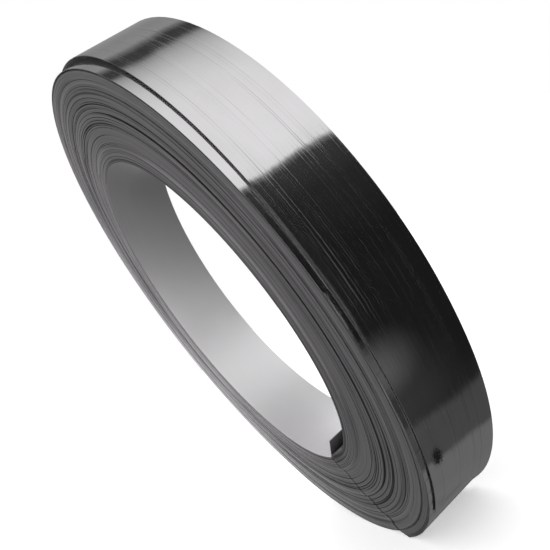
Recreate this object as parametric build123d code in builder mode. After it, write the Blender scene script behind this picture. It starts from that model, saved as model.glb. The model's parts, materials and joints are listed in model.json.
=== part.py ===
import math
import os

from build123d import *

os.makedirs("parts", exist_ok=True)

# Wound roll, in mm
bore_d = 300.0
build_up = 75.0
strip_w = 58.0
strip_t = 0.6

# Groups of turns that slipped sideways together, as shares of the build-up
group_edges = (0, 0.18, 0.29, 0.37, 0.43, 0.55, 0.63, 0.69, 0.79, 0.91, 1)
slip = 1.5

# Crease that every turn takes on over the start of the winding
crease_at = -17.0
crease_lean = 5.0
crease_w = 0.9
crease_deep = 1.0

# Inner end of the strip, bent off the bore wall at the crease
lip_bend = 27.0
lip_len = 34.0
lip_root = 4.0

# Outer turns that bulge past the crease
bulge = 5.7
bulge_fade = 50.0
bulge_step = 2.5

# Loose last wrap: askew free end by the crease, root round at the bottom
tail_at = -6.0
tail_skew = 67.0
root_at = 318.0
tight_gap = 0.4
wrap_gap = 1.5
tight_from = 180.0
tight_over = 70.0
belly = 3.0
belly_at = 155.0
belly_half = 60.0

# Sideways drift of the loose wrap
tail_drift = 4.5
peak_drift = 12.0
drift_from = 40.0
peak_at = 150.0

bore_r = bore_d / 2
coil_r = bore_r + build_up
half_w = strip_w / 2
crease_out = crease_at + crease_lean


def polar(radius, angle):
    a = math.radians(angle)
    return (radius * math.cos(a), radius * math.sin(a))


def ease(start, stop, value):
    """Run smoothly from 0 at start to 1 at stop."""
    x = min(1.0, max(0.0, (value - start) / (stop - start)))
    return x * x * (3 - 2 * x)


def stand_off(angle):
    """Gap under the loose wrap at an angle round the roll."""
    gap = wrap_gap + (tight_gap - wrap_gap) * ease(tight_from, tight_from + tight_over, angle)
    past_crease = bulge * (1 - ease(0, bulge_fade, angle))
    belly_share = 1 - ease(0, belly_half, abs(angle - belly_at))
    return gap + past_crease + belly * belly_share


def drift(angle):
    """Sideways place of the loose wrap at an angle round the roll."""
    rise = tail_drift + (peak_drift - tail_drift) * ease(drift_from, peak_at, angle)
    return rise * (1 - ease(peak_at, root_at, angle))


# Half section of the tight turns, stepped on both ends by the groups' slips
corners = []
for end in (-1, 1):
    edge = []
    last = len(group_edges) - 2
    for i in range(last + 1):
        back = 0.0 if i in (0, last) else slip * ((i * 5 + 1) % 7) / 6
        for share in group_edges[i : i + 2]:
            edge.append((bore_r + share * build_up, end * half_w + back))
    corners += edge[::-end]

with BuildPart() as coil:
    with BuildSketch(Plane.XY):
        with BuildLine():
            Polyline(*corners, close=True)
        make_face()
    revolve(axis=Axis.Y)

    # Outer turns standing off in a crescent past the crease
    with BuildSketch(Plane.XZ) as crescent:
        with BuildLine():
            top = []
            for k in range(11):
                angle = crease_out + bulge_step + k * (bulge_fade - crease_out - bulge_step) / 10
                top.append(polar(coil_r + stand_off(angle) - tight_gap, angle))
            fade = Spline(*top)
            Polyline(
                fade @ 0,
                polar(coil_r + bulge / 2, crease_out + bulge_step / 3),
                polar(coil_r + 0.8, crease_out),
                polar(coil_r - 2, crease_out),
            )
            foot = polar(coil_r - 2, bulge_fade + 12)
            Polyline(fade @ 1, polar(coil_r - 0.6, bulge_fade + 12), foot)
            ThreePointArc(foot, polar(coil_r - 2, bulge_fade / 2), polar(coil_r - 2, crease_out))
        make_face()
    extrude(crescent.sketch, half_w, both=True)

    # Root where the loose wrap leaves the tight turns
    mid_wrap = coil_r + tight_gap + strip_t / 2
    with BuildSketch(Plane.XZ) as root:
        with BuildLine():
            Polyline(
                polar(coil_r - 1.5, root_at - 3),
                polar(mid_wrap, root_at - 3),
                polar(mid_wrap, root_at - 1),
                polar(coil_r - 0.3, root_at + 5),
                polar(coil_r - 1.5, root_at + 5),
                close=True,
            )
        make_face()
    extrude(root.sketch, half_w, both=True)

    # Crease across the turns, a shallow groove on each end
    with BuildSketch(Plane.XZ) as crease:
        with BuildLine():
            Spline(
                polar(bore_r - 2, crease_at),
                polar((bore_r + coil_r) / 2, crease_at),
                polar(coil_r + 2, crease_out),
            )
        trace(line_width=crease_w)
    groove = slip + crease_deep
    for side in (-1, 1):
        with Locations((0, side * half_w, 0)):
            add(extrude(crease.sketch, groove, both=True, mode=Mode.PRIVATE), mode=Mode.SUBTRACT)

    # Inner end of the strip, standing into the bore
    run = polar(1.0, crease_at + 90 + lip_bend)
    lip_foot = polar(bore_r, crease_at)
    with BuildSketch(Plane.XZ) as lip:
        with BuildLine():
            Line(
                (lip_foot[0] - lip_root * run[0], lip_foot[1] - lip_root * run[1]),
                (lip_foot[0] + lip_len * run[0], lip_foot[1] + lip_len * run[1]),
            )
        trace(line_width=strip_t)
    extrude(lip.sketch, half_w, both=True)

# Loose last wrap, one band swept round the roll from its root to its free end
with BuildPart() as wrap:
    with BuildLine() as round_path:
        stops = []
        for k in range(33):
            angle = root_at + k * (tail_at - root_at) / 32
            x, z = polar(coil_r + stand_off(angle) + strip_t / 2, angle)
            stops.append((x, drift(angle), z))
        Spline(*stops)
    out = polar(1.0, root_at)
    start = Plane(round_path.line @ 0, x_dir=(out[0], 0, out[1]), z_dir=round_path.line % 0)
    with BuildSketch(start):
        Rectangle(strip_t, strip_w)
    sweep(path=round_path.line, is_frenet=True)

    # Free end snipped askew, shorter on the near side
    half_skew = tail_skew / 2
    mid_cut = tail_at + math.degrees(half_skew / coil_r)
    cut_x, cut_z = polar(coil_r + stand_off(mid_cut), mid_cut)
    out = polar(1.0, mid_cut)
    across = Plane((cut_x, drift(mid_cut), cut_z), x_dir=(0, 1, 0), z_dir=(out[0], 0, out[1]))
    with BuildSketch(across) as snip:
        with BuildLine():
            Polyline(
                (half_w + 1, -half_skew),
                (half_w + 1, -half_skew - 10),
                (-half_w - 1, -half_skew - 10),
                (-half_w - 1, half_skew),
                close=True,
            )
        make_face()
    extrude(snip.sketch, bulge, both=True, mode=Mode.SUBTRACT)

with BuildPart() as strip_coil:
    add(coil.part)
    add(wrap.part)

# Turn the roll to where it comes to rest, with its rim and the lip of the crescent on the floor
lip_at = crease_out + bulge_step
lip_r = coil_r + stand_off(lip_at) - tight_gap
rest_at = lip_at - math.degrees(math.acos(coil_r / lip_r))
turned = strip_coil.part.rotate(Axis.Y, rest_at + 90)

# Centre it over the origin
box = turned.bounding_box()
placed = turned.moved(Location((-box.center().X, -box.center().Y, -box.min.Z)))
placed.label = "strip_coil"
export_step(placed, "parts/strip_coil.step")

print("solids", len(placed.solids()), "volume", placed.volume)
print("turned", rest_at + 90, "moved", -box.center().X, -box.center().Y, -box.min.Z)
print("size", box.size)
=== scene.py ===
import json
import math

import bpy
from mathutils import Matrix, Vector


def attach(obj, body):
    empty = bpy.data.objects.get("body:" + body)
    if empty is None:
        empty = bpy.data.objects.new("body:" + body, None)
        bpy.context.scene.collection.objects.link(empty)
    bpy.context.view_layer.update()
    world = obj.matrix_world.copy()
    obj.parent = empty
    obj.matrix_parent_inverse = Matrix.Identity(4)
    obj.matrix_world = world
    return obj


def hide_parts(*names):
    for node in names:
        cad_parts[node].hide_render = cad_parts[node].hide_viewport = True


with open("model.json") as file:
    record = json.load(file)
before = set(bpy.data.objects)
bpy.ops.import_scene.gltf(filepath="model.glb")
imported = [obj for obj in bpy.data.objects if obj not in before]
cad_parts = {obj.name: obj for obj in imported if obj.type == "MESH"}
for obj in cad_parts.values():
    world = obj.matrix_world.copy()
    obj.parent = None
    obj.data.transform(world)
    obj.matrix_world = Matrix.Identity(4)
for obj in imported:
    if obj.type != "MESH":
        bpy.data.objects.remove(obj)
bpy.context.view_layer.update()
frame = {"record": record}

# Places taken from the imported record: the bore's axis and the end that faces the camera
mounts = {m["name"]: m["pos_m"] for m in frame["record"]["mounts"]}
bore_axis = Vector(mounts["arbor"])
near_end_y = mounts["end_face"][1]

# Wound strip. The real piece is one long slit band of bright cold-rolled steel, wound tight on
# an arbor. Groups of turns have slipped sideways, every turn has taken on a crease over the
# band's bent inner end, and the last turn has sprung off and drifted to the far side.
strip_width = 0.058
strip_thickness = 0.0006
tight_radius = 0.2249
bore_radius = 0.150
turns = 115
steps_per_turn = 180
lip_steps = 4
tail_steps = 169

# The bulge past the crease: how much it lifts the loose wrap, the angle where it has faded out, and
# about the radius of the free end that lies over it
bulge_height = 0.0057
bulge_stop = 50.0
free_end_radius = 0.2316

# Angles below are the winding's own. The roll stands turned by this much about its bore
rest_turn = -66.5876

# Shares of the build-up where one slipped group ends, and how far each group sits back
group_edges = (0, 0.18, 0.29, 0.37, 0.43, 0.55, 0.63, 0.69, 0.79, 0.91, 1)
group_slip = 0.0012
group_gap = 0.00022

strip_tree = bpy.data.node_groups.new("Wound strip", "GeometryNodeTree")
strip_inputs = {
    "Strip width": strip_width,
    "Strip thickness": strip_thickness,
    "Tight radius": tight_radius,
    "Bore radius": bore_radius,
    "Group slip": group_slip,
    "Group gap": group_gap,
    "Turn jitter": 0.00028,
    "First turn gap": 0.0008,
    "Crease depth": 0.0008,
    "Crease corner": 0.0006,
    "Bulge": bulge_height,
    "Wrap gap": 0.0015,
    "Belly": 0.0030,
    "Tail drift": 0.0045,
    "Peak drift": 0.0119,
    "Lip length": 0.034,
    "Lip angle": 100.0,
    "Lip push": 0.0025,
    "Tail skew": 16.6,
    "Rest turn": rest_turn,
    "Seed": 3.0,
}
for name in strip_inputs:
    strip_tree.interface.new_socket(name=name, in_out="INPUT", socket_type="NodeSocketFloat")
strip_tree.interface.new_socket(name="Geometry", in_out="OUTPUT", socket_type="NodeSocketGeometry")
nodes, links = strip_tree.nodes, strip_tree.links
given = nodes.new("NodeGroupInput").outputs


def feed(socket, value):
    if isinstance(value, bpy.types.NodeSocket):
        links.new(value, socket)
    else:
        socket.default_value = value


def math_node(operation, *values):
    node = nodes.new("ShaderNodeMath")
    node.operation = operation
    for socket, value in zip(node.inputs, values):
        feed(socket, value)
    return node.outputs[0]


def add(a, b):
    return math_node("ADD", a, b)


def sub(a, b):
    return math_node("SUBTRACT", a, b)


def mul(a, b):
    return math_node("MULTIPLY", a, b)


def ease(value, start, stop, low=0.0, high=1.0):
    node = nodes.new("ShaderNodeMapRange")
    node.interpolation_type = "SMOOTHSTEP"
    for socket, number in zip(node.inputs, (value, start, stop, low, high)):
        feed(socket, number)
    return node.outputs[0]


def mix(share, a, b):
    return add(a, mul(share, sub(b, a)))


def noise(value, scale, seed_step):
    node = nodes.new("ShaderNodeTexNoise")
    node.noise_dimensions = "1D"
    node.inputs["Scale"].default_value = scale
    node.inputs["Detail"].default_value = 1.0
    feed(node.inputs["W"], add(value, add(mul(given["Seed"], 7.3), seed_step)))
    return node.outputs[0]


# Running count along the strip: 0 where the tight turns start, negative on the loose last turn
count = turns * steps_per_turn + tail_steps + 1 + lip_steps
index = nodes.new("GeometryNodeInputIndex").outputs[0]
turn_free = math_node("DIVIDE", sub(index, float(tail_steps)), float(steps_per_turn))
turn = math_node("MINIMUM", turn_free, float(turns))

# Angle round the bore, with the steps crowded where each turn crosses the crease
whole = math_node("FLOOR", add(turn, 0.5))
part = sub(turn, whole)
spread = math_node("POWER", math_node("ABSOLUTE", mul(part, 2.0)), 1.6)
wound = add(whole, mul(mul(spread, 0.5), math_node("SIGN", part)))
build_up = sub(given["Tight radius"], given["Bore radius"])
share = math_node("DIVIDE", turn, float(turns))
crease_angle = ease(share, -0.1, 0.9, -11.7, -17.0)
angle = add(mul(wound, 360.0), add(crease_angle, 360.0))
radians = math_node("RADIANS", add(angle, given["Rest turn"]))

# Slip and gaps of the groups, read from one ramp along the build-up. Each group is level between
# two stops that lie a little inside its ends
group_side = 0.016
ramp_margin = 0.017
ramp = nodes.new("ShaderNodeValToRGB")
ramp.color_ramp.interpolation = "LINEAR"
stops = ramp.color_ramp.elements
stops[0].position = 0.0
stops[1].position = 1.0
last = len(group_edges) - 2
for i in range(last + 1):
    group = last - i
    back = 0.0 if group in (0, last) else ((group * 5 + 1) % 7) / 6
    stop_colour = (i / last, back, 0.0, 1.0)
    for edge, side in ((group_edges[group + 1], group_side), (group_edges[group], -group_side)):
        on_ramp = 1.0 - edge + side
        if on_ramp < ramp_margin:
            stops[0].color = stop_colour
        elif on_ramp > 1.0 - ramp_margin:
            stops[len(stops) - 1].color = stop_colour
        else:
            stops.new(on_ramp).color = stop_colour
links.new(share, ramp.inputs[0])
groups = nodes.new("FunctionNodeSeparateColor")
links.new(ramp.outputs[0], groups.inputs[0])
gaps_so_far, slip_share = groups.outputs[0], groups.outputs[1]

# Radius and sideways place of the tight turns
half_thick = mul(given["Strip thickness"], 0.5)
all_gaps = mul(given["Group gap"], float(last))
first_gap = given["First turn gap"]
room = sub(sub(sub(build_up, given["Strip thickness"]), all_gaps), first_gap)
tight_r = sub(sub(given["Tight radius"], half_thick), add(mul(share, room), mul(gaps_so_far, all_gaps)))
tight_r = sub(tight_r, mul(first_gap, ease(turn, 0.55, 1.45)))
past_it = sub(wound, whole)
near_crease = math_node("ABSOLUTE", past_it)
notch_reach = 0.0010
notch = mul(given["Crease depth"], ease(near_crease, 0.0, notch_reach, 1.0, 0.0))
notch = mul(notch, ease(share, 0.98, 0.998, 1.0, 0.0))
corner = math_node("MAXIMUM", sub(1.0, mul(near_crease, 30.0)), 0.0)
corner = mul(given["Crease corner"], mul(corner, corner))
tight_r = add(tight_r, mul(corner, ease(share, 0.0, 0.02)))
pushed_in = mul(ease(past_it, 0.0, 0.006), ease(past_it, 0.012, 0.055, 1.0, 0.0))
pushed_in = mul(given["Lip push"], pushed_in)
tight_r = sub(tight_r, mul(pushed_in, ease(share, 0.90, 1.0)))
restless = ease(math_node("ABSOLUTE", sub(share, 0.52)), 0.12, 0.42, 1.0, 0.35)
jitter = mul(mul(given["Turn jitter"], restless), noise(turn, 0.9, 0.0))
wander = mul(0.0003, noise(add(mul(share, 6.0), mul(math_node("SINE", radians), 0.8)), 1.0, 40.0))
tight_y = add(add(mul(given["Group slip"], slip_share), notch), add(jitter, wander))

# Radius and sideways place of the loose last turn, from its free end to its root
root_gap = 0.0004
belly_angle = 155.0
belly_half = 60.0
peak_angle = 150.0
gap = ease(angle, 180.0, 250.0, given["Wrap gap"], root_gap)
past_crease = mul(given["Bulge"], ease(angle, 0.0, bulge_stop, 1.0, 0.0))
off_belly = math_node("ABSOLUTE", sub(angle, belly_angle))
belly = mul(given["Belly"], ease(off_belly, 0.0, belly_half, 1.0, 0.0))
loose_r = add(add(given["Tight radius"], half_thick), add(gap, add(past_crease, belly)))
rise = ease(angle, 40.0, peak_angle, given["Tail drift"], given["Peak drift"])
loose_y = mul(rise, ease(angle, peak_angle, 318.0, 1.0, 0.0))
settled = ease(angle, 296.0, 330.0)
radius = mix(settled, loose_r, tight_r)
sideways = mix(settled, loose_y, tight_y)

# Straight run of the inner end, standing into the bore
beyond = math_node("MAXIMUM", sub(turn_free, float(turns)), 0.0)
lip_run = mul(given["Lip length"], mul(beyond, steps_per_turn / lip_steps))
lip_way = math_node("RADIANS", add(given["Lip angle"], given["Rest turn"]))
place = nodes.new("ShaderNodeCombineXYZ")
for axis, wave in enumerate(("COSINE", "SINE")):
    on_circle = mul(radius, math_node(wave, radians))
    on_lip = mul(lip_run, math_node(wave, lip_way))
    links.new(add(on_circle, on_lip), place.inputs[axis])
links.new(mul(sideways, -1.0), place.inputs[2])

line = nodes.new("GeometryNodeCurvePrimitiveLine")
resample = nodes.new("GeometryNodeResampleCurve")
resample.mode = "COUNT"
resample.inputs["Count"].default_value = count
links.new(line.outputs[0], resample.inputs["Curve"])


def remember(geometry, name, value):
    node = nodes.new("GeometryNodeStoreNamedAttribute")
    node.data_type = "FLOAT"
    node.domain = "POINT"
    node.inputs["Name"].default_value = name
    links.new(geometry, node.inputs["Geometry"])
    feed(node.inputs["Value"], value)
    return node.outputs[0]


banded = remember(resample.outputs[0], "turn", turn_free)
banded = remember(banded, "around", angle)
banded = remember(banded, "crease", past_it)
moved = nodes.new("GeometryNodeSetPosition")
links.new(banded, moved.inputs["Geometry"])
links.new(place.outputs[0], moved.inputs["Position"])
upright = nodes.new("GeometryNodeSetCurveNormal")
upright.mode = "Z_UP"
links.new(moved.outputs[0], upright.inputs[0])

section = nodes.new("GeometryNodeCurvePrimitiveQuadrilateral")
links.new(given["Strip thickness"], section.inputs["Width"])
links.new(given["Strip width"], section.inputs["Height"])
section_place = nodes.new("ShaderNodeSeparateXYZ")
links.new(nodes.new("GeometryNodeInputPosition").outputs[0], section_place.inputs[0])
section_out = remember(section.outputs[0], "across", section_place.outputs[1])

band = nodes.new("GeometryNodeCurveToMesh")
links.new(upright.outputs[0], band.inputs["Curve"])
links.new(section_out, band.inputs["Profile Curve"])
band.inputs["Fill Caps"].default_value = True
stood = nodes.new("GeometryNodeTransform")
links.new(band.outputs[0], stood.inputs["Geometry"])
stood.inputs["Rotation"].default_value = (math.radians(90), 0, 0)
stood.inputs["Translation"].default_value = bore_axis


def kept(name):
    node = nodes.new("GeometryNodeInputNamedAttribute")
    node.data_type = "FLOAT"
    node.inputs["Name"].default_value = name
    return node.outputs[0]


# Free end snipped askew: its near corners slide back along the band and keep to its curve
kept_turn, kept_across, kept_around = kept("turn"), kept("across"), kept("around")
tail_start = -tail_steps / steps_per_turn
sliding = ease(kept_turn, tail_start, tail_start + 0.16, 1.0, 0.0)
to_near = sub(0.5, math_node("DIVIDE", kept_across, given["Strip width"]))
slide = mul(given["Tail skew"], mul(sliding, to_near))
around_now = add(kept_around, slide)
slid = nodes.new("ShaderNodeVectorRotate")
slid.rotation_type = "AXIS_ANGLE"
links.new(nodes.new("GeometryNodeInputPosition").outputs[0], slid.inputs["Vector"])
slid.inputs["Center"].default_value = bore_axis
slid.inputs["Axis"].default_value = (0, -1, 0)
links.new(math_node("RADIANS", slide), slid.inputs["Angle"])
bulge_before = ease(kept_around, 0.0, bulge_stop, 1.0, 0.0)
bulge_now = ease(around_now, 0.0, bulge_stop, 1.0, 0.0)
drop = mul(given["Bulge"], sub(bulge_before, bulge_now))
drawn_in = sub(1.0, math_node("DIVIDE", drop, free_end_radius))
nearer = nodes.new("ShaderNodeCombineXYZ")
links.new(drawn_in, nearer.inputs[0])
nearer.inputs[1].default_value = 1.0
links.new(drawn_in, nearer.inputs[2])
from_axis, scaled, back_on = [nodes.new("ShaderNodeVectorMath") for k in range(3)]
from_axis.operation, scaled.operation, back_on.operation = "SUBTRACT", "MULTIPLY", "ADD"
links.new(slid.outputs[0], from_axis.inputs[0])
from_axis.inputs[1].default_value = bore_axis
links.new(from_axis.outputs[0], scaled.inputs[0])
links.new(nearer.outputs[0], scaled.inputs[1])
links.new(scaled.outputs[0], back_on.inputs[0])
back_on.inputs[1].default_value = bore_axis
snipped = nodes.new("GeometryNodeSetPosition")
links.new(stood.outputs[0], snipped.inputs["Geometry"])
links.new(back_on.outputs[0], snipped.inputs["Position"])

sharp = nodes.new("GeometryNodeInputMeshEdgeAngle")
smooth = nodes.new("GeometryNodeSetShadeSmooth")
smooth.domain = "EDGE"
links.new(snipped.outputs[0], smooth.inputs["Geometry"])
links.new(math_node("LESS_THAN", sharp.outputs[0], 0.7), smooth.inputs["Shade Smooth"])

# Bright face of the strip, with rolling lines and scratches that run along it
face_steel = bpy.data.materials.new("Bright rolled face")
face_steel.use_nodes = True
mat_nodes, mat_links = face_steel.node_tree.nodes, face_steel.node_tree.links


# Helpers for the material being made, as those above are for the strip's own tree
def shade(kind, operation=None, *values):
    node = mat_nodes.new(kind)
    if operation:
        node.operation = operation
    for socket, value in zip(node.inputs, values):
        if isinstance(value, bpy.types.NodeSocket):
            mat_links.new(value, socket)
        elif value is not None:
            socket.default_value = value
    return node


def calc(operation, *values):
    return shade("ShaderNodeMath", operation, *values).outputs[0]


def plus(a, b):
    return calc("ADD", a, b)


def less(a, b):
    return calc("SUBTRACT", a, b)


def times(a, b):
    return calc("MULTIPLY", a, b)


def larger(a, b):
    return calc("MAXIMUM", a, b)


def swing(value, amount):
    """A noise value about its middle, times an amount."""
    return times(less(value, 0.5), amount)


def toward(around, degrees):
    """1 where the winding's angle is this one, down to -1 on the opposite side."""
    return calc("COSINE", calc("RADIANS", less(around, degrees)))


def marked(name):
    node = mat_nodes.new("ShaderNodeAttribute")
    node.attribute_name = name
    return node.outputs["Fac"]


def fade(value, start, stop, low=0.0, high=1.0):
    node = mat_nodes.new("ShaderNodeMapRange")
    node.interpolation_type = "SMOOTHSTEP"
    for socket, number in zip(node.inputs, (value, start, stop, low, high)):
        if isinstance(number, bpy.types.NodeSocket):
            mat_links.new(number, socket)
        else:
            socket.default_value = number
    return node.outputs[0]


def grain(x, y, z=0.0, detail=2.0, rough=0.5):
    spot = shade("ShaderNodeCombineXYZ", None, x, y, z).outputs[0]
    node = mat_nodes.new("ShaderNodeTexNoise")
    mat_links.new(spot, node.inputs["Vector"])
    node.inputs["Scale"].default_value = 1.0
    node.inputs["Detail"].default_value = detail
    node.inputs["Roughness"].default_value = rough
    return node.outputs[0]


def spin(vector_x, vector_z, amount):
    """Tip the surface's own normal along the strip by a small amount."""
    pushed = shade("ShaderNodeCombineXYZ", None, times(vector_x, amount), 0.0, times(vector_z, amount))
    normal_now = mat_nodes.new("ShaderNodeNewGeometry").outputs["Normal"]
    tipped = shade("ShaderNodeVectorMath", "ADD", normal_now, pushed.outputs[0]).outputs[0]
    return shade("ShaderNodeVectorMath", "NORMALIZE", tipped).outputs[0]


rim_radius = 0.225
around_mark, across_mark = marked("around"), marked("across")
turned_by = calc("RADIANS", plus(around_mark, rest_turn))
along = times(calc("RADIANS", around_mark), rim_radius)
streak = grain(times(along, 2.5), times(across_mark, 620.0), 3.0, 3.0, 0.6)
broad_streak = grain(times(along, 5.0), times(across_mark, 150.0), 9.0, 2.0)
waves = grain(times(along, 16.0), times(across_mark, 26.0), 5.0, 1.0)
smears = grain(times(along, 34.0), times(across_mark, 60.0), 2.0, 3.0)

# Long fine scratches, each with its place across the strip and its width, worn through in parts
scratches = (
    (0.0093, 0.00022), (0.0106, 0.00016), (-0.0035, 0.00014), (0.0172, 0.00012), (-0.0198, 0.00018),
)
worn = grain(times(along, 9.0), times(across_mark, 400.0), 7.0, 3.0, 0.7)
wobble = swing(grain(times(along, 3.0), 0.0, 1.0, 0.0), 0.0009)
scratch = None
for place_across, width in scratches:
    off = calc("ABSOLUTE", less(plus(across_mark, wobble), place_across))
    one = fade(off, width, width * 2.2, 1.0, 0.0)
    scratch = one if scratch is None else larger(scratch, one)
scratch = times(scratch, fade(worn, 0.35, 0.6))
hairs = fade(grain(times(along, 1.2), times(across_mark, 1500.0), 4.0, 1.0), 0.62, 0.76)
scratch = larger(scratch, times(hairs, 0.55))

# A dark oily smudge near the free end
smudge_x = calc("DIVIDE", less(around_mark, 24.5), 3.6)
smudge_y = calc("DIVIDE", plus(across_mark, 0.0205), 0.0050)
smudge_far = calc("SQRT", plus(times(smudge_x, smudge_x), times(smudge_y, smudge_y)))
smudge_edge = grain(times(along, 500.0), times(across_mark, 700.0), 6.0, 2.0)
smudge = fade(plus(smudge_far, times(smudge_edge, 1.6)), 1.2, 1.9, 1.0, 0.0)

tip = swing(streak, 0.012)
tip = plus(tip, swing(broad_streak, 0.014))
tip = plus(tip, swing(waves, 0.060))
face_normal = spin(times(calc("SINE", turned_by), -1.0), calc("COSINE", turned_by), tip)
brushed = grain(times(along, 3.0), times(across_mark, 1300.0), 12.0, 2.0, 0.6)
roughness = plus(0.028, times(fade(streak, 0.35, 0.8), 0.035))
roughness = plus(roughness, times(fade(brushed, 0.48, 0.70), 0.16))
roughness = plus(roughness, times(fade(smears, 0.5, 0.75), 0.03))
roughness = larger(roughness, times(scratch, 0.24))
roughness = larger(roughness, times(smudge, 0.6))
bumped = mat_nodes.new("ShaderNodeBump")
bumped.inputs["Strength"].default_value = 0.12
bumped.inputs["Distance"].default_value = 0.00005
mat_links.new(plus(streak, times(scratch, -0.5)), bumped.inputs["Height"])
mat_links.new(face_normal, bumped.inputs["Normal"])
colour = mat_nodes.new("ShaderNodeMix")
colour.data_type = "RGBA"
mat_links.new(smudge, colour.inputs[0])
colour.inputs[7].default_value = (0.04, 0.04, 0.04, 1)
tinted = mat_nodes.new("ShaderNodeMix")
tinted.data_type = "RGBA"
tint_share = plus(times(fade(broad_streak, 0.3, 0.7), 0.5), times(fade(smears, 0.35, 0.75), 0.5))
mat_links.new(tint_share, tinted.inputs[0])
tinted.inputs[6].default_value = (0.745, 0.733, 0.745, 1)
tinted.inputs[7].default_value = (0.690, 0.680, 0.690, 1)
scored = shade("ShaderNodeVectorMath", "SCALE", tinted.outputs[2])
mat_links.new(less(1.0, times(scratch, 0.22)), scored.inputs["Scale"])
mat_links.new(scored.outputs[0], colour.inputs[6])
shader = mat_nodes["Principled BSDF"]
shader.inputs["Metallic"].default_value = 1.0
mat_links.new(colour.outputs[2], shader.inputs["Base Color"])
mat_links.new(roughness, shader.inputs["Roughness"])
mat_links.new(bumped.outputs[0], shader.inputs["Normal"])

# Inner side of the strip, satin rather than bright. Painted shade darkens it on the bent end, on the
# upper side of the bore and on the lower half of the loose wrap, and painted light lifts the rest of
# the wrap a little
bore_steel = bpy.data.materials.new("Satin inner side")
bore_steel.use_nodes = True
mat_nodes, mat_links = bore_steel.node_tree.nodes, bore_steel.node_tree.links
around_mark, across_mark = marked("around"), marked("across")
along = times(calc("RADIANS", around_mark), bore_radius)
rubbed = grain(times(along, 4.0), times(across_mark, 420.0), 2.0, 3.0, 0.6)
cloudy = grain(times(along, 30.0), times(across_mark, 40.0), 8.0, 3.0)
shader = mat_nodes["Principled BSDF"]
shader.inputs["Metallic"].default_value = 1.0
colour = mat_nodes.new("ShaderNodeMix")
colour.data_type = "RGBA"
mat_links.new(plus(times(rubbed, 0.4), times(cloudy, 0.6)), colour.inputs[0])
colour.inputs[6].default_value = (0.96, 0.948, 0.96, 1)
colour.inputs[7].default_value = (0.90, 0.888, 0.90, 1)
turn_mark = marked("turn")
# Painted shade on the bent end
painted_lip_shade = fade(turn_mark, float(turns) + 0.001, float(turns) + 0.004, 1.0, 0.30)
# Painted shade gathers towards 150 degrees round the bore, on the bore and on the loose wrap
painted_shade_side = toward(around_mark, 150.0)
kept_tight = fade(turn_mark, 2.0, 8.0)
# Painted shade on the upper side of the bore
painted_bore_shade = times(kept_tight, fade(painted_shade_side, 0.0, 0.87, 1.0, 0.55))
# Painted light and shade on the inner side of the loose wrap, darker on its lower half
painted_wrap_light_shade = times(fade(painted_shade_side, -0.035, 0.208, 0.55, 1.04), fade(painted_shade_side, 0.0, 0.87, 1.0, 0.78))
painted_wrap_light_shade = times(less(1.0, kept_tight), painted_wrap_light_shade)
colour_with_painted_shade = shade("ShaderNodeVectorMath", "SCALE", colour.outputs[2])
mat_links.new(times(painted_lip_shade, plus(painted_bore_shade, painted_wrap_light_shade)), colour_with_painted_shade.inputs["Scale"])
mat_links.new(colour_with_painted_shade.outputs[0], shader.inputs["Base Color"])
mat_links.new(plus(0.40, times(rubbed, 0.16)), shader.inputs["Roughness"])
bumped = mat_nodes.new("ShaderNodeBump")
bumped.inputs["Strength"].default_value = 0.15
bumped.inputs["Distance"].default_value = 0.0001
mat_links.new(rubbed, bumped.inputs["Height"])
mat_links.new(bumped.outputs[0], shader.inputs["Normal"])

# Slit edges of the strip, duller than its faces, each turn with its own tone and burr
edge_steel = bpy.data.materials.new("Slit edge")
edge_steel.use_nodes = True
mat_nodes, mat_links = edge_steel.node_tree.nodes, edge_steel.node_tree.links
turn_mark, around_mark, crease_mark = marked("turn"), marked("around"), marked("crease")
on_roll = mat_nodes.new("ShaderNodeTexCoord").outputs["Object"]
object_spot = shade("ShaderNodeSeparateXYZ", None, on_roll).outputs
patches = grain(times(object_spot[0], 11.0), times(object_spot[2], 11.0), 1.0, 2.0)
turn_number = calc("FLOOR", plus(turn_mark, 0.5))
own = mat_nodes.new("ShaderNodeTexWhiteNoise")
own.noise_dimensions = "1D"
mat_links.new(turn_number, own.inputs["W"])
own_tones = mat_nodes.new("ShaderNodeSeparateColor")
mat_links.new(own.outputs["Color"], own_tones.inputs[0])
coarse = grain(times(turn_mark, 0.27), times(patches, 1.2), 4.0, 2.0)
burr = grain(times(around_mark, 1.3), times(turn_mark, 3.1), 2.0, 2.0)
come_and_go = grain(times(turn_number, 5.7), times(around_mark, 0.022), 3.0, 1.0)
restless = fade(calc("ABSOLUTE", less(turn_mark, 60.0)), 15.0, 56.0, 1.0, 0.65)
dark_line = times(fade(own_tones.outputs[0], 0.25, 0.33, 1.0, 0.0), fade(come_and_go, 0.34, 0.52))
tone = plus(0.97, swing(own_tones.outputs[1], 0.48))
tone = plus(tone, swing(coarse, 0.14))
tone = plus(tone, swing(patches, 0.20))
tone = plus(tone, swing(burr, 0.25))
dark_line = times(dark_line, restless)
tone = times(tone, less(1.0, times(dark_line, 0.85)))

# The crease is painted shade, dark on the near end and a little less so on the far end
across_mark = marked("across")
crease_off = times(calc("ABSOLUTE", crease_mark), fade(across_mark, 0.0, 0.01, 1.0, 2.2))
painted_crease_shade = fade(crease_off, 0.0016, 0.0025, 1.0, 0.0)
painted_crease_shade = times(painted_crease_shade, fade(across_mark, 0.0, 0.01, 1.0, 0.8))
# Painted highlight: a lighter band beside the crease, for light on the kink's facet
painted_ridge_highlight = times(fade(crease_mark, -0.0066, -0.0046), fade(crease_mark, -0.0032, -0.0024, 1.0, 0.0))
tone = times(tone, plus(1.0, times(painted_ridge_highlight, 0.30)))
# Painted light: the end face lighter towards 240 degrees round the bore
tone = times(tone, fade(toward(around_mark, 240.0), -0.35, 0.5, 1.0, 1.75))
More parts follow.
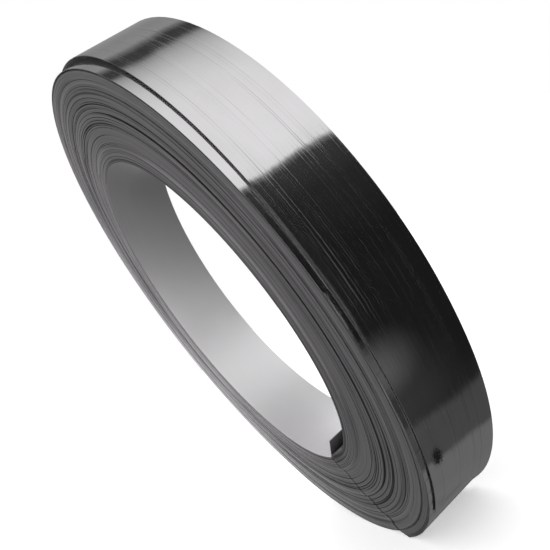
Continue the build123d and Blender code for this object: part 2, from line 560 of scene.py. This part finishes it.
# Painted shade: the end face darker towards 15 degrees round the bore
tone = times(tone, fade(toward(around_mark, 15.0), 0.45, 0.95, 1.0, 0.88))
tone = times(larger(tone, 0.10), less(1.0, times(painted_crease_shade, 0.95)))
shader = mat_nodes["Principled BSDF"]
shader.inputs["Metallic"].default_value = 1.0
colour = shade("ShaderNodeVectorMath", "SCALE", (0.44, 0.428, 0.44))
mat_links.new(tone, colour.inputs["Scale"])
mat_links.new(colour.outputs[0], shader.inputs["Base Color"])
roughness = plus(0.36, times(burr, 0.16))
roughness = larger(roughness, times(larger(painted_crease_shade, dark_line), 0.95))
mat_links.new(roughness, shader.inputs["Roughness"])
bumped = mat_nodes.new("ShaderNodeBump")
bumped.inputs["Strength"].default_value = 0.5
bumped.inputs["Distance"].default_value = 0.0003
mat_links.new(plus(own_tones.outputs[2], times(burr, 0.25)), bumped.inputs["Height"])
mat_links.new(bumped.outputs[0], shader.inputs["Normal"])

# Which parts of the strip are slit edge or inner side. Turns buried in the roll have the edge's
# finish all over, because only their edges show
on_edge = math_node("GREATER_THAN", math_node("ABSOLUTE", kept_across), mul(given["Strip width"], 0.45))
past_first = math_node("GREATER_THAN", kept_turn, 1.2)
before_last = math_node("LESS_THAN", kept_turn, turns - 1.05)
buried = mul(past_first, before_last)
out_from_axis = nodes.new("ShaderNodeVectorMath")
out_from_axis.operation = "SUBTRACT"
links.new(nodes.new("GeometryNodeInputPosition").outputs[0], out_from_axis.inputs[0])
out_from_axis.inputs[1].default_value = bore_axis
facing = nodes.new("ShaderNodeVectorMath")
facing.operation = "DOT_PRODUCT"
links.new(out_from_axis.outputs[0], facing.inputs[0])
links.new(nodes.new("GeometryNodeInputNormal").outputs[0], facing.inputs[1])
inwards = math_node("LESS_THAN", facing.outputs["Value"], 0.0)
satin = math_node("MAXIMUM", inwards, math_node("GREATER_THAN", kept_turn, float(turns)))


def coat(geometry, material, on_part=None):
    node = nodes.new("GeometryNodeSetMaterial")
    node.inputs["Material"].default_value = material
    links.new(geometry, node.inputs["Geometry"])
    if on_part is not None:
        links.new(on_part, node.inputs["Selection"])
    return node.outputs[0]


coated = coat(smooth.outputs[0], face_steel)
coated = coat(coated, edge_steel, math_node("MAXIMUM", on_edge, buried))
coated = coat(coated, bore_steel, mul(satin, mul(sub(1.0, on_edge), sub(1.0, buried))))
whole_strip = nodes.new("GeometryNodeRealizeInstances")
links.new(coated, whole_strip.inputs[0])
out = nodes.new("NodeGroupOutput")
links.new(whole_strip.outputs[0], out.inputs[0])


def put_in_scene(name, data):
    thing = bpy.data.objects.new(name, data)
    bpy.context.scene.collection.objects.link(thing)
    return thing


strip = put_in_scene("wound_strip", bpy.data.meshes.new("wound_strip"))
winding = strip.modifiers.new("Winding", "NODES")
winding.node_group = strip_tree
for item in strip_tree.interface.items_tree:
    if item.in_out == "INPUT":
        winding[item.identifier] = strip_inputs[item.name]
strip.update_tag()
bpy.context.view_layer.update()
evaluated = strip.evaluated_get(bpy.context.evaluated_depsgraph_get())
wound_mesh = bpy.data.meshes.new_from_object(evaluated)
strip.modifiers.remove(winding)
strip.data = wound_mesh
strip.data.name = "wound_strip"
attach(strip, "root")
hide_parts("strip_coil")

# Outer turns that bulge past the crease. On the real roll the last tight turns are bowed outwards
# where the band starts over its own bent end, and lie close again a sixth of the way round.
layer_pitch = 0.00062
layer_thick = 0.00058
first_angle = -12.0
end_lean = 2.5
last_angle = 60.0
layers = 11
stations = 60

# Thickness of the bulged turns together, where the bulge has faded out and at the crease
bulge_low = 0.0011
bulge_full = 0.0068

# Value of the crease mark away from the crease, which the edge material reads
no_crease = 0.2


def bulge_top(degrees):
    x = min(1.0, max(0.0, degrees / bulge_stop))
    return bulge_low + bulge_height * (1 - x * x * (3 - 2 * x))


# Each layer ends where the bulge sinks below it, thinned over its last six stations
verts, faces, marks_turn, marks_around, marks_across = [], [], [], [], []
for layer in range(layers):
    low = layer * layer_pitch
    high = low + layer_thick
    start = first_angle + end_lean * high / bulge_full
    stop = start
    while bulge_top(stop) >= high and stop < last_angle:
        stop += 0.25
    base = len(verts)
    for k in range(stations + 1):
        degrees = start + (stop - start) * k / stations
        thin = min(1.0, (stations - k) / 6 + 0.06)
        lean = 0.00008 * math.sin(layer * 2.1 + degrees * 0.11)
        top = low + layer_thick * thin
        for r, y in ((low, -0.5), (top, -0.5), (top, 0.5), (low, 0.5)):
            a = math.radians(degrees + rest_turn)
            reach = tight_radius + r
            shift = 0.00012 + lean + 0.0002 * (1 - thin)
            verts.append((
                bore_axis.x + reach * math.cos(a),
                bore_axis.y + strip_width * y + shift,
                bore_axis.z + reach * math.sin(a),
            ))
            marks_turn.append(-layer / layers)
            marks_around.append(degrees)
            marks_across.append(strip_width * y)
    for k in range(stations):
        a, b = base + 4 * k, base + 4 * k + 4
        for c in range(4):
            d = (c + 1) % 4
            faces.append((a + c, a + d, b + d, b + c))
    faces.append((base + 3, base + 2, base + 1, base))
    end = base + 4 * stations
    faces.append((end, end + 1, end + 2, end + 3))
bulge_mesh = bpy.data.meshes.new("bulged_turns")
bulge_mesh.from_pydata(verts, [], faces)
marks_crease = [no_crease] * len(verts)
for name, values in (
    ("turn", marks_turn), ("around", marks_around), ("across", marks_across), ("crease", marks_crease),
):
    bulge_mesh.attributes.new(name, "FLOAT", "POINT").data.foreach_set("value", values)
bulge_mesh.materials.append(face_steel)
bulge_mesh.materials.append(edge_steel)
for face in bulge_mesh.polygons:
    face.material_index = 1 if abs(face.normal.y) > 0.7 else 0
bulged = put_in_scene("bulged_turns", bulge_mesh)
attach(bulged, "root")
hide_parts("strip_coil")

# Floor, pale and even, that keeps the roll's soft shadow
floor_mesh = bpy.data.meshes.new("floor")
half = 4.0
floor_corners = [(-half, -half, 0), (half, -half, 0), (half, half, 0), (-half, half, 0)]
floor_mesh.from_pydata(floor_corners, [], [(0, 1, 2, 3)])
floor = put_in_scene("floor", floor_mesh)
paper = bpy.data.materials.new("White paper")
paper.use_nodes = True
mat_nodes, mat_links = paper.node_tree.nodes, paper.node_tree.links
shader = mat_nodes["Principled BSDF"]
shader.inputs["Base Color"].default_value = (0.95, 0.95, 0.95, 1)
shader.inputs["Roughness"].default_value = 0.9
shader.inputs["Emission Color"].default_value = (1, 1, 1, 1)
to_camera = mat_nodes.new("ShaderNodeLightPath").outputs["Is Camera Ray"]
mat_links.new(times(to_camera, 0.35), shader.inputs["Emission Strength"])
floor_mesh.materials.append(paper)
floor.visible_glossy = False

# Curved reflection card round the roll's back, seen only in mirror reflections. Its zones are
# pairs of an angle in the winding's own count and a grey
card_radius = 0.6
card_start = -90.0
card_sweep = 291.0
card_steps = 180
card_zones = (
    (-95.0, 0.03), (-68.0, 0.04), (-60.0, 0.155), (-17.0, 0.165), (-15.0, 0.078), (1.5, 0.076),
    (4.0, 0.022), (14.0, 0.013), (60.0, 0.013), (78.0, 0.024), (89.0, 0.050), (90.5, 0.92),
    (96.5, 0.97), (115.0, 0.945), (126.0, 0.890), (131.0, 0.815), (137.0, 0.715), (145.3, 0.500),
    (149.6, 0.345), (151.6, 0.17), (153.4, 0.058), (159.0, 0.050), (161.8, 0.15), (165.2, 0.31),
    (176.0, 0.270), (192.0, 0.31), (265.0, 0.30),
)
zones_start = -95.0

# The zones lean by this much a metre along the bore, and have their own angles at this place on it
card_lean = math.radians(22.0)
card_true_y = 0.18

# Pale patches in the dark zone: angle, place along the bore, reach and strength. They are shorter
# along the bore than across it
card_patches = ((14.0, 0.120, 0.19, 0.028), (26.0, 0.112, 0.125, 0.095))
patch_squeeze = 1.5

# Its near edge comes forward past the roll below 45 degrees, and its far edge draws in past 100
card_mesh = bpy.data.meshes.new("reflection_card")
verts, faces = [], []
for k in range(card_steps + 1):
    degrees = card_sweep * k / card_steps + card_start
    a = math.radians(rest_turn + degrees)
    low = 0.10 - 0.40 * min(1.0, max(0.0, (45.0 - degrees) / 75.0))
    high = 0.95 - 0.62 * min(1.0, max(0.0, (degrees - 100.0) / 25.0))
    x = bore_axis.x + card_radius * math.cos(a)
    z = bore_axis.z + card_radius * math.sin(a)
    verts.append((x, low, z))
    verts.append((x, high, z))
for k in range(card_steps):
    faces.append((2 * k, 2 * k + 1, 2 * k + 3, 2 * k + 2))
card_mesh.from_pydata(verts, [], faces)
card = put_in_scene("reflection_card", card_mesh)

card_paint = bpy.data.materials.new("Card in grey zones")
card_paint.use_nodes = True
mat_nodes, mat_links = card_paint.node_tree.nodes, card_paint.node_tree.links
mat_nodes.clear()
on_card = mat_nodes.new("ShaderNodeTexCoord").outputs["Object"]
card_x, card_y, card_z = shade("ShaderNodeSeparateXYZ", None, on_card).outputs
turned = calc("ARCTAN2", less(card_z, bore_axis.z), card_x)
leaned = less(calc("MULTIPLY_ADD", card_y, card_lean, turned), card_lean * card_true_y)
first_way = math.radians(rest_turn + zones_start)
last_way = math.radians(rest_turn + zones_start + 360.0)
wrapped = calc("WRAP", leaned, last_way, first_way)
shares = shade("ShaderNodeMapRange", None, wrapped, first_way, last_way).outputs[0]
zones = shade("ShaderNodeValToRGB", None, shares)
marks = zones.color_ramp.elements
for k, (degrees, value) in enumerate(card_zones):
    place_on = (degrees - zones_start) / 360.0
    mark = marks[0] if k == 0 else marks.new(place_on)
    mark.position = place_on
    mark.color = (value, value, value, 1)
marks.remove(marks[len(marks) - 1])
squeezed = shade("ShaderNodeVectorMath", "MULTIPLY", on_card, (1.0, patch_squeeze, 1.0)).outputs[0]
lit = zones.outputs[0]
for degrees, side, reach, strength in card_patches:
    a = math.radians(rest_turn + degrees)
    x = card_radius * math.cos(a)
    z = bore_axis.z + card_radius * math.sin(a)
    apart = shade("ShaderNodeVectorMath", "DISTANCE", squeezed, (x, patch_squeeze * side, z))
    patch = fade(apart.outputs["Value"], 0.01, reach, strength, 0.0)
    lit = shade("ShaderNodeVectorMath", "ADD", lit, patch).outputs[0]
glow = shade("ShaderNodeEmission", None, lit)
shade("ShaderNodeOutputMaterial", None, glow.outputs[0])
card_mesh.materials.append(card_paint)


def only_in_mirrors(thing):
    thing.visible_camera = False
    thing.visible_diffuse = False
    thing.visible_shadow = False
    thing.visible_transmission = False


only_in_mirrors(card)

# Two cards in front of the roll's near end, at right angles to each other and turned with the
# winding, seen only in mirror reflections. They are palest close to the roll
front_mesh = bpy.data.meshes.new("front_card")
front_mesh.from_pydata(
    [
        (-0.62, -1.5, -0.225), (1.2, -1.5, -0.225), (1.2, -0.04, -0.225), (-0.62, -0.04, -0.225),
        (-0.62, -1.5, 0.275), (-0.62, 0.1, 0.275), (-0.62, 0.1, -0.225),
    ],
    [], [(0, 1, 2, 3), (0, 6, 5, 4)],
)
turned_with_roll = Matrix.Rotation(math.radians(-rest_turn), 4, "Y")
front_mesh.transform(Matrix.Translation((bore_axis.x, 0, bore_axis.z)) @ turned_with_roll)
front_card = put_in_scene("front_card", front_mesh)
front_paint = bpy.data.materials.new("Front card in greys")
front_paint.use_nodes = True
mat_nodes, mat_links = front_paint.node_tree.nodes, front_paint.node_tree.links
mat_nodes.clear()
on_card = mat_nodes.new("ShaderNodeTexCoord").outputs["Object"]
card_y = shade("ShaderNodeSeparateXYZ", None, on_card).outputs[1]
glow = shade("ShaderNodeEmission", None, fade(card_y, -0.068, -0.036, 0.22, 0.90))
shade("ShaderNodeOutputMaterial", None, glow.outputs[0])
front_mesh.materials.append(front_paint)
only_in_mirrors(front_card)

# White surroundings all round, which light the roll softly and evenly
world = bpy.data.worlds.new("White surroundings")
bpy.context.scene.world = world
world.use_nodes = True
world.node_tree.nodes["Background"].inputs[0].default_value = (1, 1, 1, 1)
world.node_tree.nodes["Background"].inputs[1].default_value = 1.0

# Camera, level with the bore and turned on its side a little, in front of the roll's rim. Its lens,
# place and directions were fitted to the outline of the roll in the photo
camera_data = bpy.data.cameras.new("camera")
camera_data.sensor_width = 36.0
camera_data.lens = 42.545
camera = put_in_scene("camera", camera_data)
right = Vector((0.266319, 0.742141, -0.615061))
up = Vector((0.203561, 0.580410, 0.788471))
back = Vector((0.942145, -0.335187, 0.003504))
near_centre = Vector((bore_axis.x, near_end_y, bore_axis.z))
camera_at = near_centre + Vector((0.538846, -0.126560, -0.000960))
camera.matrix_world = Matrix((
    (right.x, up.x, back.x, camera_at.x),
    (right.y, up.y, back.y, camera_at.y),
    (right.z, up.z, back.z, camera_at.z),
    (0, 0, 0, 1),
))
bpy.context.scene.camera = camera
bpy.context.scene.view_settings.view_transform = "Standard"
